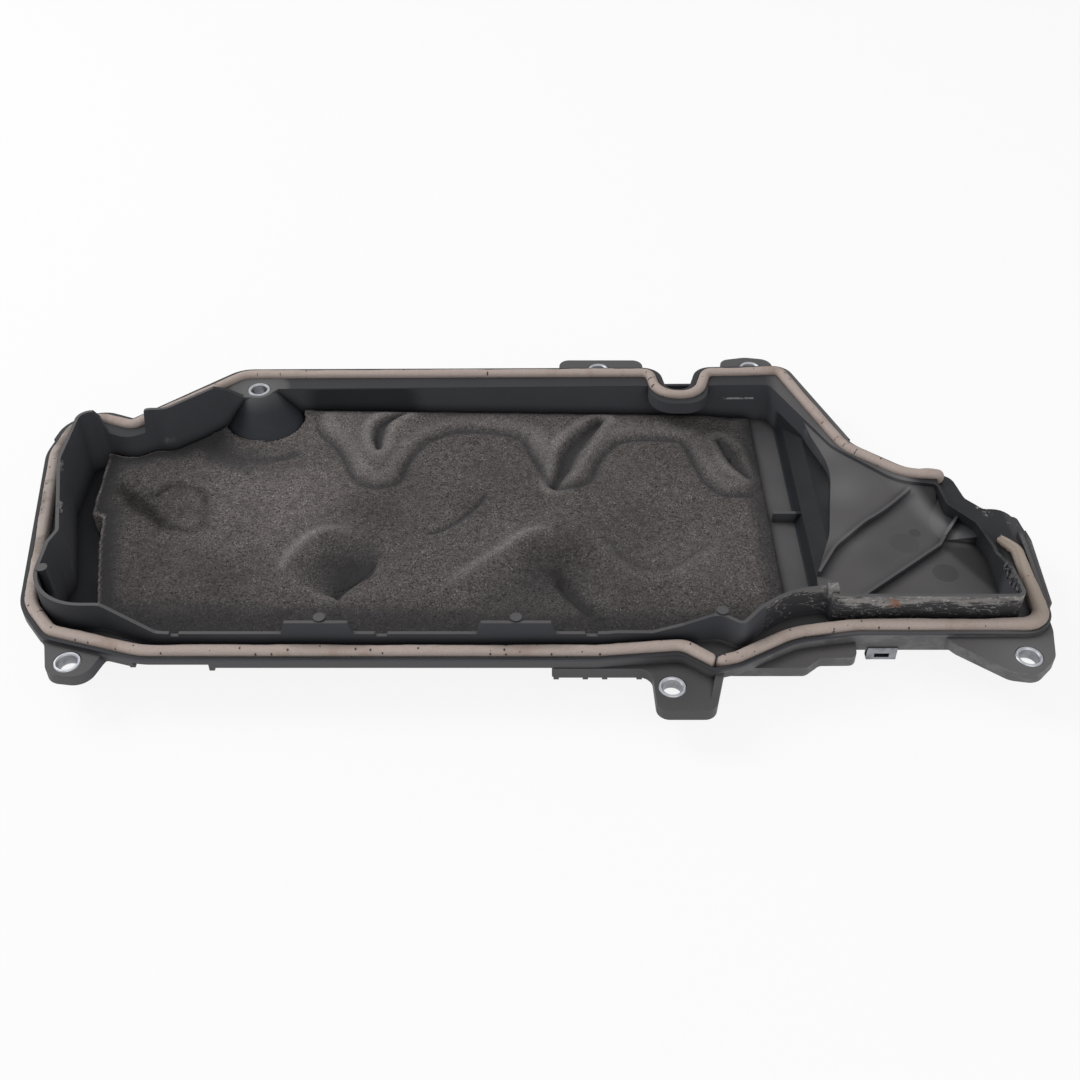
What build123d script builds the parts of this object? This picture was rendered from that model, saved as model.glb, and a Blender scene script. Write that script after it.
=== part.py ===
from build123d import *
import os

# Acoustic engine cover lying on its back, open side up: a moulded tray with a rim flange, a moulded
# foam pad on its floor, two lengths of foam bead in the rim and steel sleeves in its bolt lugs.
# Millimetres. Plan points run along the tray's length in x and from its front to its back in y.
# While modelling, z = 0 is the top of the rim's outer lip. The finished part stands on its floor.

# Tray sections
WALL = 1.8
FLOOR = 2.5
TRAY_DEPTH = 25.0
POCKET_DEPTH = 11.0
SCOOP_TOP = 1.5
SCOOP_RUN = 30.0
RISER_STEP = 6.0
OUTER_FILLET = 3.0
FRONT_BEVEL = 15.5
HIGH_WALL = 14.0
LOW_WALL = 7.0
OVER_WALL = 10.0

# Rim sections
LIP = 2.0
BACK_LIP = 3.2
GROOVE_DEPTH = 3.5
WEB = 2.0
LEDGE = 2.5
RIGHT_SKIRT = 11.0
SHORT_LIP = 3.0
MOUTH_DROP = 3.5

# Rim seal bead
SEAL_WIDTH = 6.0
SEAL_PROUD = 3.0
SEAL_ROUND = 2.6
SEAL_SIDE_GAP = 0.25
SEAL_JOIN_GAP = 0.3

# Bolt lugs and their sleeves
LUG = 6.0
SLEEVE_RADIUS = 6.5
SLEEVE_BORE = 4.5
SLEEVE_PROUD = 0.3
SLEEVE_CHAMFER = 0.6
SLEEVE_FIT = 0.05
SIDE_LUG_DROP = 2.5
GUSSET = 3.5

# Conical bolt boss at the back left
BOSS_TOP_RADIUS = 8.5
BOSS_FOOT_RADIUS = 32.5
BOSS_LEAN = (6.0, -20.0)

# Foam pad
FOAM = 8.0
FOAM_TILT = 1.4
FOAM_GAP = 1.8
BANK_GROOVE = 3.0
BANK_GROOVE_DEPTH = 2.5

# Studs on the inner wall, ribs in the pocket and teeth below the rim
STUD_RADIUS = 2.75
STUD_PROUD = 0.8
RIB = 1.6
RIB_HEIGHT = 3.5
FLOOR_RIB = 2.0
FLOOR_RIB_HEIGHT = 6.0
TOOTH = 2.5
TOOTH_DROP = 2.0
STUB = 5.0
STUB_PROUD = 1.5

# Clip on the right skirt
CLIP_X = 161.5
CLIP_WIDTH = 14.0
CLIP_SHEET = 0.8
CLIP_BELOW = 5.5
CLIP_GRIP = 2.0
CLIP_WINDOW = (7.0, 2.5)
CLIP_FIT = 0.1

# Half side of the room that cutting bodies fill, beyond the part on every side
FAR_SIDE = 300.0

# Plan corners are (x, y, corner radius)
# Centre line of the rim groove, clockwise from the V at the front
SEAL_MAIN = [
    (80, -113, 0),
    (66, -102.5, 12),
    (26, -106.2, 40),
    (-184, -106.2, 30),
    (-229, -93, 10),
    (-243.5, -75, 25),
    (-264, 42, 25),
    (-260.5, 66, 12),
    (-247, 75, 9),
    (-228, 67.3, 6),
    (-174, 117.2, 12),
    (64.5, 119, 5),
    (68, 97, 13),
    (91, 97, 13),
    (97.5, 119.5, 5),
    (141, 121, 5),
    (167, 48, 25),
    (195, 24.5, 25),
    (213, 23, 0),
]
BARE_MOUTH = [
    (216, 23, 3),
    (219, 6, 10),
    (229, -5.5, 8),
    (240, -6, 4),
]
SEAL_RIGHT = [
    (232.6, -25, 0),
    (239.5, -35, 5),
    (237, -89.5, 11),
    (148, -89.5, 40),
    (118, -94.5, 40),
    (90, -110.3, 12),
    (80, -113, 0),
]

# Centre line of the tray's wall, clockwise from the front left, with the back right run named for its scoop
BACK_RIGHT_WALL = [
    (134, 108.7, 5),
    (161, 50, 25),
    (190, 20.5, 25),
    (211, 16.5, 4),
]
TRAY_WALL = [
    (-176, -101, 20),
    (-204, -89.5, 12),
    (-240, -89.5, 27),
    (-240.5, -46, 5),
    (-238, -37, 5),
    (-253, 20, 20),
    (-253, 62, 7),
    (-242, 62.5, 5),
    (-228, 57, 10),
    (-216, 64.5, 5),
    (-207, 64.5, 9),
    (-162, 104.3, 8),
    *BACK_RIGHT_WALL,
    (212.5, 0, 8),
    (224, -15, 6),
    (228, -34, 6),
    (226.5, -83.5, 4),
    (138, -83.5, 3),
    (136.5, -77, 3),
    (117, -80.3, 40),
    (102, -91.5, 25),
    (92.8, -102, 3),
    (84, -96, 8),
    (66, -97.5, 12),
    (52, -98.5, 20),
    (30, -101, 30),
]

# Tops of the wall as (x, height) along the front and the back, and (y, height) at the right
TAB_FLANK = 2.0
TABS = ((-117, -88), (-27, 5))
FRONT_SLOPE = ((-204, HIGH_WALL), (-177, LOW_WALL))
LOBE_SLOPE = ((36, LOW_WALL), (52, LOW_WALL - 2), (66, HIGH_WALL - 5), (80, HIGH_WALL))
WALL_NOTCHES = ((-170.5, -166), (-76, -70), (20.7, 26.7))
WALL_NOTCH_DEPTH = 1.5
DIP_TOP = [(-246, HIGH_WALL), (-243, HIGH_WALL - 4), (-240.5, 0), (-219.5, 0), (-218, HIGH_WALL)]
BACK_TOP = [(-184, HIGH_WALL), (-178, HIGH_WALL - 5), (-171, 0), (300, 0)]
RIGHT_TOP = [(-82, HIGH_WALL), (-60, HIGH_WALL - 4), (-38, 0), (60, 0)]

# Bolt places, as (x, y), with the lug outlines round them
FRONT_LEFT_BOLT = (-217, -110.5)
FRONT_LEFT_LUG = [
    (-225, -86, 0),
    (-247, -76, 4),
    (-231, -98, 25),
    (-225, -118, 8),
    (-207, -120.5, 9),
    (-201.5, -103, 6),
    (-180, -100, 0),
]
FRONT_MIDDLE_BOLT = (60, -123)
FRONT_MIDDLE_LUG = [
    (5.5, -103, 0),
    (5.5, -112, 1.5),
    (51.5, -112, 6),
    (52.5, -137.5, 6),
    (78.5, -137.5, 6),
    (86, -108, 3),
    (86, -100, 0),
]
FRONT_RIGHT_BOLT = (225.5, -107)
FRONT_RIGHT_LUG = [
    (234, -7, 0),
    (247, -6.5, 3),
    (249.3, -26, 12),
    (246.3, -72, 2),
    (242, -77, 1.5),
    (241.5, -90, 20),
    (237.5, -108, 9),
    (227, -118.5, 8),
    (215, -116.5, 9),
    (194, -100, 8),
    (188, -92, 0),
    (232, -84, 0),
]
BACK_LEFT_BOLT = (-163, 103)
BOSS_PLATE = [
    (-190, 112, 0),
    (-190, 105, 0),
    (-171, 95, 6),
    (-159, 95, 8),
    (-150, 106, 4),
    (-149, 112, 0),
]
BACK_MIDDLE_BOLT = (35, 131.5)
BACK_MIDDLE_LUG = [
    (10, 106, 0),
    (12, 141.5, 6),
    (61, 141.5, 6),
    (64, 106, 0),
]
BACK_RIGHT_BOLT = (126, 133.5)
BACK_RIGHT_LUG = [
    (106, 106, 0),
    (109, 141.5, 6),
    (124, 144.5, 12),
    (139, 142, 8),
    (142, 106, 0),
]
RIGHT_WING = [
    (84, -104, 0),
    (87, -111.5, 4),
    (122.5, -111.5, 5),
    (130, -105.2, 4),
    (147, -105, 4),
    (148.5, -90, 0),
]
RIGHT_WING_THICKNESS = 5.5

# Places where the flange is raised to a ledge inside the groove, is left bare of groove, has a short
# lip or a deep skirt, and the cup that carries it round the notch in the back
BACK_LEDGE = [
    (-188, 70, 0),
    (-188, 130, 0),
    (150, 130, 0),
    (212, 40, 0),
    (212, 0, 0),
    (100, 0, 0),
    (-150, 60, 0),
]
DIP_LEDGE = [
    (-247, 45, 0),
    (-247, 90, 0),
    (-219, 90, 0),
    (-219, 45, 0),
]
MOUTH_ZONE = [
    (211.5, 32, 0),
    (255, 20, 0),
    (255, -14, 0),
    (236, -27, 0),
    (222, -22, 0),
    (211.5, 0, 0),
]
SHORT_LIP_SPAN = (-187, -152)
RIGHT_SKIRT_SPAN = (145, 194)
BACK_LIP_SPAN = (55, 200)
NOTCH_CUP = [
    (62.5, 112, 0),
    (64.5, 89, 14),
    (95, 89, 14),
    (99, 112, 0),
]
NOTCH_CUP_DEPTH = 7.0

# Riser from the tray floor to the pocket floor, as (x, depth below the lip), and the pocket's own edge
RISER = [
    (137.5, TRAY_DEPTH),
    (141, TRAY_DEPTH - RISER_STEP),
    (149, POCKET_DEPTH + 2.5),
    (158, POCKET_DEPTH + 1),
]
POCKET_EDGE = [
    (138, 130, 0),
    (151, 64, 30),
    (159, 36, 40),
    (150.5, -12, 40),
    (138.5, -45, 20),
    (138, -130, 0),
    (300, -130, 0),
    (300, 130, 0),
]
POCKET_SLOPE = [
    (181, 42, 0),
    (208, -17, 0),
    (236, -22, 0),
    (232, 12, 0),
    (212, 30, 0),
]
POCKET_SLOPE_RISE = 7.0
POCKET_SLOPE_RUN = 18.5
RIB_ONE = [
    (196, 14.5, 0),
    (170, -4.5, 30),
    (151, -24, 25),
    (139.5, -44, 0),
]
RIB_TWO = [
    (221, -1, 0),
    (209, -16, 3),
    (205, -23, 6),
    (150, -68, 0),
]
FLOOR_RIB_Y = 15.0
STUDS = [(-101, -98.5), (-11, -98.5), (84, -94), (-237.5, -65)]
STUB_PLACE = (137.5, -79)
SHELF_TEETH = [(x, -110) for x in (7.5, 21, 30, 46)]
RIM_TEETH = [(-202, -104), (-188, -108), (-151, -110)]

# Foam outline where no wall bounds it, its grooved bank and its hollows
FOAM_EDGE = [
    (124, 130, 0),
    (124, -130, 0),
    (-212, -130, 0),
    (-218, -62, 6),
    (-222.5, -43, 4),
    (-228.5, -17, 1),
    (-231.5, 4, 1),
    (-238, 6, 1),
    (-246, 130, 0),
]
BANK_LINE = [
    (-131, 99, 0),
    (-126, 79, 10),
    (-107, 62, 12),
    (-101, 33, 11),
    (-78, 33, 11),
    (-71, 79, 13),
    (-4, 87, 14),
    (3, 33, 8),
    (24, 33, 9),
    (36, 79, 12),
    (86, 80, 16),
    (95, 27, 14),
    (120, 27, 0),
]
# Hollows as (x, y, half length, half width, depth, turn and roll in degrees)
HOLLOWS = [
    (-104, -28, 32, 17, 4.0, 50, 9),
    (0, -28, 34, 19, 4.0, 45, 8),
    (17, -54, 22, 7, 4.0, -61, 0),
    (-88, 80, 19, 5, 4.0, 75, 0),
    (20, 63, 27, 6, 4.0, 64, 0),
    (108, 62, 17, 4, 3.5, -78, 0),
]


def face_from(corners):
    """Closed flat face from (x, y, corner radius) corners."""
    points = [(x, y) for x, y, radius in corners]
    radii = [radius for x, y, radius in corners]
    return make_face(FilletPolyline(*points, radius=radii, close=True))


def route_from(corners):
    """Open flat route from (x, y, corner radius) corners, with the ends left plain."""
    points = [(x, y) for x, y, radius in corners]
    radii = [radius for x, y, radius in corners[1:-1]]
    return FilletPolyline(*points, radius=radii)


def prism(face, low, high):
    """Upright solid over a flat face, from one height to another."""
    return extrude(Pos(0, 0, low) * face, amount=high - low, dir=(0, 0, 1))


def span(start, end):
    """Flat strip between two x places, as deep as the whole part."""
    return Pos((start + end) / 2, 0) * Rectangle(end - start, 2 * FAR_SIDE)


def bar_along_y(profile, start=-FAR_SIDE, end=FAR_SIDE):
    """Solid with an (x, z) profile that runs along y."""
    points = [(x, start, z) for x, z in profile]
    return extrude(make_face(Polyline(*points, close=True)), amount=end - start, dir=(0, 1, 0))


def bar_along_x(profile, start=-FAR_SIDE, end=FAR_SIDE):
    """Solid with a (y, z) profile that runs along x."""
    points = [(start, y, z) for y, z in profile]
    return extrude(make_face(Polyline(*points, close=True)), amount=end - start, dir=(1, 0, 0))


def upright(place, radius, low, high):
    """Upright cylinder."""
    x, y = place
    return Pos(x, y, (low + high) / 2) * Cylinder(radius, high - low)


def bead(route, low, high):
    """Bead with a flat bottom and a rounded top, swept along a flat route."""
    tangent = route % 0
    across = Vector(0, 0, 1).cross(tangent)
    section = Pos(0, (low + high) / 2) * Rectangle(SEAL_WIDTH, high - low)
    section = fillet(section.vertices().group_by(Axis.Y)[-1], SEAL_ROUND)
    return sweep(Plane(route @ 0, x_dir=across, z_dir=tangent) * section, path=route)


def sleeve(place, top):
    """Compression sleeve with chamfered ends, standing a little proud of its lug."""
    low = top - LUG - SLEEVE_PROUD
    high = top + SLEEVE_PROUD
    tube = upright(place, SLEEVE_RADIUS, low, high) - upright(place, SLEEVE_BORE, low, high)
    return chamfer(tube.edges().filter_by(GeomType.CIRCLE), SLEEVE_CHAMFER)


def tooth(place, top):
    """Small tooth that hangs below the rim."""
    x, y = place
    return Pos(x, y, top) * Box(TOOTH, TOOTH, 2 * TOOTH_DROP)


def above(profile):
    """Closed outline of the space over an open (place, height) profile."""
    return profile + [(profile[-1][0], HEAD_ROOM), (profile[0][0], HEAD_ROOM)]


def below(profile):
    """Closed outline of the space under an open (place, height) profile."""
    return profile + [(profile[-1][0], -2 * DEEP), (profile[0][0], -2 * DEEP)]


# Levels that follow from the sections
RIM_HEIGHT = GROOVE_DEPTH + WEB
DEEP = TRAY_DEPTH + FLOOR
HEAD_ROOM = HIGH_WALL + OVER_WALL
HALF_GROOVE = SEAL_WIDTH / 2 + SEAL_SIDE_GAP
FRONT_FACE = TRAY_WALL[0][1] - WALL / 2

# Bolts as node name, place and the level of the lug's top
BOLTS = (
    ("sleeve_front_left", FRONT_LEFT_BOLT, -SIDE_LUG_DROP),
    ("sleeve_front_middle", FRONT_MIDDLE_BOLT, -RIM_HEIGHT),
    ("sleeve_front_right", FRONT_RIGHT_BOLT, -SIDE_LUG_DROP),
    ("sleeve_back_left", BACK_LEFT_BOLT, 0),
    ("sleeve_back_middle", BACK_MIDDLE_BOLT, -RIM_HEIGHT),
    ("sleeve_back_right", BACK_RIGHT_BOLT, -RIM_HEIGHT),
)

# Faces in plan
rim_face = face_from(SEAL_MAIN + BARE_MOUTH + SEAL_RIGHT[1:-1])
back_strip = Rot(0, 0, 90) * span(*BACK_LIP_SPAN)
lip_outer = offset(rim_face, amount=HALF_GROOVE + LIP)
lip_outer += offset(rim_face, amount=HALF_GROOVE + BACK_LIP) & back_strip
lip_inner = offset(rim_face, amount=HALF_GROOVE)
groove_inner = offset(rim_face, amount=-HALF_GROOVE)
wall_line = face_from(TRAY_WALL)
wall_outer = offset(wall_line, amount=WALL / 2)
cavity = offset(wall_line, amount=-WALL / 2)
mouth_zone = face_from(MOUTH_ZONE)
ledge_face = groove_inner & (face_from(BACK_LEDGE) + face_from(DIP_LEDGE))


def make_flange():
    """Rim flange with its lugs, skirt, wing and groove."""
    flange = prism(lip_outer, -RIM_HEIGHT, 0)
    for corners, top in (
        (FRONT_LEFT_LUG, -SIDE_LUG_DROP),
        (FRONT_RIGHT_LUG, -SIDE_LUG_DROP),
        (FRONT_MIDDLE_LUG, -RIM_HEIGHT),
        (BACK_MIDDLE_LUG, -RIM_HEIGHT),
        (BACK_RIGHT_LUG, -RIM_HEIGHT),
    ):
        flange += prism(face_from(corners), top - LUG, top)
    flange += prism(face_from(RIGHT_WING), -RIM_HEIGHT - RIGHT_WING_THICKNESS, -RIM_HEIGHT)
    lip = lip_outer - lip_inner
    front_lip = lip & Pos(0, -FAR_SIDE / 2) * Rectangle(2 * FAR_SIDE, FAR_SIDE)
    flange += prism(front_lip & span(*RIGHT_SKIRT_SPAN), -RIGHT_SKIRT, -RIM_HEIGHT)
    flange -= prism(front_lip & span(*SHORT_LIP_SPAN), -RIM_HEIGHT, -SHORT_LIP)
    flange += make_gusset()
    flange -= prism(lip_inner - ledge_face - mouth_zone, -GROOVE_DEPTH, HEAD_ROOM)
    flange -= prism(offset(ledge_face, amount=-LEDGE) - wall_outer, -RIM_HEIGHT, -LEDGE)
    flange -= prism(mouth_zone, -MOUTH_DROP, HEAD_ROOM)
    for place in RIM_TEETH:
        flange += tooth(place, -RIM_HEIGHT)
    for place in SHELF_TEETH:
        flange += tooth(place, -RIM_HEIGHT - LUG)
    return flange


def make_gusset():
    """Upright web along the right edge of the front middle lug, falling from the rim to the lug's tip."""
    front = Vector(*FRONT_MIDDLE_LUG[4][:2])
    back = Vector(*FRONT_MIDDLE_LUG[5][:2])
    along = (back - front).normalized()
    tip = front + along * FRONT_MIDDLE_LUG[4][2]
    root = back + along * LIP
    foot = Vector(0, 0, -RIM_HEIGHT - LUG)
    lug_top = Vector(0, 0, -RIM_HEIGHT)
    web = Polyline(tip + foot, root + foot, root, back, tip + lug_top, close=True)
    return extrude(make_face(web), amount=GUSSET, dir=Vector(0, 0, 1).cross(along))


def make_pocket():
    """Ground below the riser, the pocket's floor and its sloped end, and the space under its skin."""
    riser = [(x, -depth) for x, depth in RISER]
    skin = [(x + FLOOR / 2, z - FLOOR) for x, z in riser]
    edge = face_from(POCKET_EDGE)
    ground = bar_along_y(below(riser + [(FAR_SIDE, -POCKET_DEPTH)]))
    ground += prism(edge, -2 * DEEP, -POCKET_DEPTH)
    space = bar_along_y(below(skin + [(FAR_SIDE, -POCKET_DEPTH - FLOOR)]))
    space += prism(offset(edge, amount=-FLOOR), -2 * DEEP, -POCKET_DEPTH - FLOOR)
    crease = Vector(*POCKET_SLOPE[0][:2], -POCKET_DEPTH)
    along = (Vector(*POCKET_SLOPE[1][:2], -POCKET_DEPTH) - crease).normalized()
    uphill = along.cross(Vector(0, 0, -1)) + Vector(0, 0, POCKET_SLOPE_RISE / POCKET_SLOPE_RUN)
    plane = Plane(crease, x_dir=along, z_dir=along.cross(uphill))
    slope_face = face_from(POCKET_SLOPE)
    slope = split(prism(slope_face, -2 * DEEP, 0), bisect_by=plane, keep=Keep.BOTTOM)
    slope_space = Pos(0, 0, -FLOOR) * slope & prism(offset(slope_face, amount=-FLOOR) & cavity, -DEEP, 0)
    scoop = make_scoop() & prism(edge, -2 * DEEP, 0)
    slope_space += Pos(0, 0, -FLOOR) * scoop & prism(offset(edge, amount=-FLOOR) & cavity, -DEEP, 0)
    return ground + slope + scoop, space, slope_space


def make_scoop():
    """Ground below the curved rise of the pocket's floor to the back right wall."""
    route = route_from(BACK_RIGHT_WALL)
    tangent = route % 0
    across = Vector(0, 0, 1).cross(tangent)
    foot = (-SCOOP_RUN, -POCKET_DEPTH)
    crown = (0, -SCOOP_TOP)
    rise = TangentArc(foot, crown, tangent=(1, 0))
    sides = Polyline(crown, (0, -2 * DEEP), (-SCOOP_RUN, -2 * DEEP), foot)
    return sweep(Plane(route @ 0, x_dir=across, z_dir=tangent) * make_face(rise + sides), path=route)


def make_bevel(gap):
    """Ground below the bevelled front edge of the tray, a gap away from the tray's outer bevel."""
    corner = FRONT_BEVEL - DEEP + gap * 2**0.5
    return bar_along_x(below([(FRONT_FACE - WALL, corner + WALL), (FRONT_FACE + DEEP, corner - DEEP)]))


def make_tray():
    """Tray with its raised wall, the space inside it, the space under its slopes and its raised ground."""
    ground, space, slope_space = make_pocket()
    tray = prism(wall_outer, -DEEP, HIGH_WALL)
    tray = fillet(tray.edges().group_by(Axis.Z)[0], OUTER_FILLET)
    tray -= space + make_bevel(0)
    inside = prism(cavity, -TRAY_DEPTH, HEAD_ROOM) - ground - make_bevel(WALL)
    return tray, inside, slope_space, ground


def boss_cone(grow, low, high):
    """Leaning cone of the back left boss between two levels, grown all round by an amount."""
    x, y = BACK_LEFT_BOLT
    lean_x, lean_y = BOSS_LEAN
    sections = []
    for level in (low, high):
        part_way = -level / DEEP
        radius = BOSS_TOP_RADIUS + (BOSS_FOOT_RADIUS - BOSS_TOP_RADIUS) * part_way + grow
        sections.append(Pos(x + lean_x * part_way, y + lean_y * part_way, level) * Circle(radius))
    return loft(sections)


def make_boss():
    """Leaning boss for the back left bolt with the plate beside it, and its core."""
    boss = boss_cone(0, -DEEP, 0) + prism(face_from(BOSS_PLATE), -LEDGE, 0)
    boss &= prism(wall_outer + ledge_face, -DEEP, 0)
    return boss, boss_cone(-WALL, -DEEP, -LUG)


def trim_wall_tops(shell):
    """Low front wall with tabs and notches, dip and ledges at the back, fall towards the bare mouth."""
    front = list(FRONT_SLOPE)
    for start, end in TABS:
        front.append((start - TAB_FLANK, LOW_WALL))
        front.append((start, HIGH_WALL))
        front.append((end, HIGH_WALL))
        front.append((end + TAB_FLANK, LOW_WALL))
    front += LOBE_SLOPE
    shell -= bar_along_y(above(front), end=0)
    for start, end in WALL_NOTCHES:
        step = LOW_WALL - WALL_NOTCH_DEPTH
        shell -= bar_along_y(above([(start, step), (end, step)]), end=0)
    shell -= bar_along_y(above(DIP_TOP), start=0)
    shell -= bar_along_y(above(BACK_TOP), start=0)
    right_end = POCKET_EDGE[0][0]
    return shell - bar_along_x(above(RIGHT_TOP), start=right_end)


def make_notch_cup():
    """Cup inside the back wall that carries the rim round the notch."""
    face = face_from(NOTCH_CUP) & lip_outer
    cup = prism(face, -NOTCH_CUP_DEPTH, 0)
    return cup - prism(lip_inner - groove_inner, -GROOVE_DEPTH, 0)


def make_ribs(ground):
    """Two ribs that follow the pocket's floor and one across the tray's floor beside the foam."""
    low = -POCKET_DEPTH - FLOOR / 2
    ribs = prism(trace(route_from(RIB_ONE), line_width=RIB), low, 0)
    ribs += prism(trace(route_from(RIB_TWO), line_width=RIB), low, 0)
    ribs &= Pos(0, 0, RIB_HEIGHT) * ground
    start = FOAM_EDGE[0][0] + FOAM_GAP
    end = RISER[1][0]
    floor_rib = Box(end - start, FLOOR_RIB, FLOOR_RIB_HEIGHT + FLOOR)
    ribs += Pos((start + end) / 2, FLOOR_RIB_Y, (FLOOR_RIB_HEIGHT - FLOOR) / 2 - TRAY_DEPTH) * floor_rib
    return ribs & prism(wall_outer, -DEEP, 0)


def make_shell():
    """The whole moulding."""
    tray, inside, slope_space, ground = make_tray()
    boss, boss_core = make_boss()
    shell = make_flange() + tray - inside - slope_space
    shell = trim_wall_tops(shell)
    shell += boss
    shell -= boss_core
    shell += make_notch_cup()
    for place in STUDS:
        stud = upright(place, STUD_RADIUS, -DEEP, HIGH_WALL + STUD_PROUD)
        shell += stud & prism(wall_outer, -DEEP + OUTER_FILLET, HEAD_ROOM) - make_bevel(0)
    stub_x, stub_y = STUB_PLACE
    shell += Pos(stub_x, stub_y, HIGH_WALL + STUB_PROUD - STUB / 2) * Box(STUB, STUB, STUB)
    shell += make_ribs(ground) - slope_space
    groove_width = SEAL_WIDTH + SEAL_SIDE_GAP
    for corners in (SEAL_MAIN, SEAL_RIGHT):
        shell -= prism(trace(route_from(corners), line_width=groove_width), -GROOVE_DEPTH, HEAD_ROOM)
    shell -= upright(SEAL_MAIN[-1][:2], groove_width / 2, -GROOVE_DEPTH, HEAD_ROOM)
    for name, place, top in BOLTS:
        shell -= upright(place, SLEEVE_RADIUS + SLEEVE_FIT, top - LUG - WALL, top + SLEEVE_PROUD)
    return shell


def make_seals():
    """Two lengths of bead that meet at the V, the main one with a rounded end at the mouth."""
    low = -GROOVE_DEPTH
    main = bead(route_from(SEAL_MAIN), low, SEAL_PROUD)
    end = upright(SEAL_MAIN[-1][:2], SEAL_WIDTH / 2, low, SEAL_PROUD)
    main += fillet(end.edges().group_by(Axis.Z)[-1], SEAL_ROUND)
    right = bead(route_from(SEAL_RIGHT), low, SEAL_PROUD)
    join = SEAL_MAIN[0][0]
    front = Pos(0, -FAR_SIDE / 2) * Rectangle(2 * FAR_SIDE, FAR_SIDE)
    main -= prism(front & span(join - SEAL_JOIN_GAP / 2, FAR_SIDE), -DEEP, HEAD_ROOM)
    right -= prism(front & span(-FAR_SIDE, join + SEAL_JOIN_GAP / 2), -DEEP, HEAD_ROOM)
    return main, right


def make_foam():
    """Moulded pad with its tilted top, grooved bank and hollows."""
    face = offset(cavity, amount=-FOAM_GAP) & face_from(FOAM_EDGE)
    foam = prism(face, -TRAY_DEPTH, 0)
    foam -= make_bevel(WALL + FOAM_GAP)
    foam -= boss_cone(FOAM_GAP, -DEEP, 0)
    for place in STUDS:
        foam -= upright(place, STUD_RADIUS + FOAM_GAP, -DEEP, 0)
    top = Pos(0, 0, FOAM - TRAY_DEPTH) * Rot(0, FOAM_TILT, 0)
    foam -= top * Pos(0, 0, DEEP / 2) * Box(2 * FAR_SIDE, 2 * FAR_SIDE, DEEP)
    line = Pos(0, 0, BANK_GROOVE - BANK_GROOVE_DEPTH) * route_from(BANK_LINE)
    foam -= top * sweep(Plane(line @ 0, z_dir=line % 0) * Circle(BANK_GROOVE), path=line)
    for x, y, half_length, half_width, depth, turn, roll in HOLLOWS:
        hollow = scale(Sphere(1), by=(half_length, half_width, depth))
        foam -= top * Pos(x, y, 0) * Rot(0, 0, turn) * Rot(roll, 0, 0) * hollow
    return foam


def make_clip():
    """Sheet-metal clip gripping the lower edge of the right skirt, with a window in its outer leg."""
    outer = SEAL_RIGHT[2][1] - HALF_GROOVE - LIP - CLIP_FIT
    gap = LIP + 2 * CLIP_FIT
    low = -RIGHT_SKIRT - CLIP_BELOW
    high = -RIGHT_SKIRT + CLIP_GRIP
    block = Pos(CLIP_X, outer + gap / 2, (low + high) / 2)
    clip = block * Box(CLIP_WIDTH, gap + 2 * CLIP_SHEET, high - low)
    clip -= block * Pos(0, 0, CLIP_SHEET) * Box(CLIP_WIDTH, gap, high - low)
    width, height = CLIP_WINDOW
    return clip - Pos(CLIP_X, outer, low + CLIP_BELOW / 2) * Box(width, 2 * CLIP_SHEET + CLIP_FIT, height)


nodes = {name: sleeve(place, top) for name, place, top in BOLTS}
nodes["cover_shell"] = make_shell()
nodes["rim_seal_main"], nodes["rim_seal_right"] = make_seals()
nodes["foam_pad"] = make_foam()
nodes["edge_clip"] = make_clip()

# Every node moves so that the origin is the middle of the part's foot
box = Compound(list(nodes.values())).bounding_box()
to_foot = Pos(-box.center().X, -box.center().Y, -box.min.Z)
os.makedirs("parts", exist_ok=True)
for name, solid in nodes.items():
    export_step(to_foot * solid, f"parts/{name}.step")
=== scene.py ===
import math

import bmesh
import bpy
import numpy as np
from bpy.props import FloatProperty, FloatVectorProperty, PointerProperty
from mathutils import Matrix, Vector, noise


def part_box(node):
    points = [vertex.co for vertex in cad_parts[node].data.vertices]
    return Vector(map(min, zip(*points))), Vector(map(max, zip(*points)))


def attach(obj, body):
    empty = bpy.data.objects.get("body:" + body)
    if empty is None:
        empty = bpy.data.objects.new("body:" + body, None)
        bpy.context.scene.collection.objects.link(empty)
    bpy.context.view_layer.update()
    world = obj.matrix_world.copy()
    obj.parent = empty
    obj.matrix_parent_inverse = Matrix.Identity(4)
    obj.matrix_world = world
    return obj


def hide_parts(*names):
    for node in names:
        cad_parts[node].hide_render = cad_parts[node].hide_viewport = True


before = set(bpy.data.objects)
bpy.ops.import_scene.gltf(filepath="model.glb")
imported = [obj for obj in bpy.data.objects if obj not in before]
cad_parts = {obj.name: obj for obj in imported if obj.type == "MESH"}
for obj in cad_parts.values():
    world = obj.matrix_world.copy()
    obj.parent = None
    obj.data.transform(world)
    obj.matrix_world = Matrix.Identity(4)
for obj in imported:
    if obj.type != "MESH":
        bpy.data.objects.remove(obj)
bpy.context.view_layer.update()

bl_info = {
    "name": "Engine cover",
    "version": (1, 0, 0),
    "blender": (4, 5, 0),
    "location": "View3D > Sidebar > Cover",
    "description": "Dresses a used engine cover that lies open side up",
    "category": "Object",
}

MM = 0.001

# The plan points below are in the plan of the part's source. One bolt gives the shift to the row frame.
BOLT_NODE = "sleeve_front_middle"
BOLT_PLAN = (60.0, -123.0)
BOLT_BELOW_LIP = 8.5
BOLT_MIDDLE = (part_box(BOLT_NODE)[0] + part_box(BOLT_NODE)[1]) / 2
SHIFT_X = BOLT_MIDDLE.x / MM - BOLT_PLAN[0]
SHIFT_Y = BOLT_MIDDLE.y / MM - BOLT_PLAN[1]
LIP_TOP = BOLT_MIDDLE.z / MM + BOLT_BELOW_LIP
SEAL_LEVEL = LIP_TOP + 1.5
POCKET_FLOOR = -11

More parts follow.
